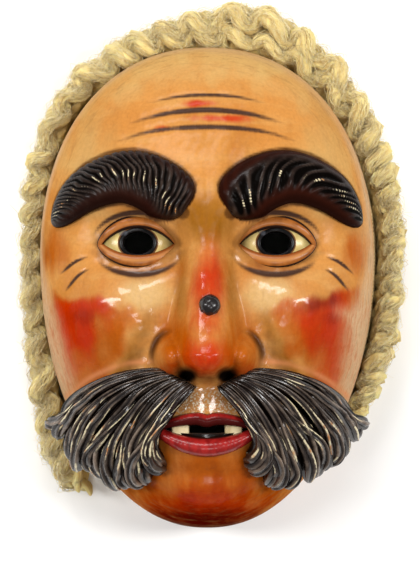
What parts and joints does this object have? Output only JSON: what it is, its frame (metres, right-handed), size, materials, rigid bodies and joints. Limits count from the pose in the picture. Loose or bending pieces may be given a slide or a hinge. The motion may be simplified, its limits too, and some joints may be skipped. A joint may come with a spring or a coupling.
{
  "type": "carved carnival mask",
  "caption": "Hollow carved and painted wooden carnival mask with bushy brows, a fanned moustache and a curled wool band; lies on its flat rim.",
  "frame": {"origin": "middle of the outer box, in the plane of the sawn rim that the mask lies on", "axes": "+X to the viewer's right across the face, +Y from chin to forehead, +Z out of the face"},
  "size_m": [0.205, 0.2748, 0.1129],
  "materials": {
    "painted_wood": "carved limewood, painted and varnished to a soft gloss",
    "braid": "flat woven braid, matt",
    "wool": "curled undyed sheep's wool, matt"
  },
  "bodies": {
    "root": {"carved_mask": "painted_wood", "wig_tape": "braid", "wool_wig": "wool"}
  },
  "joints": []
}
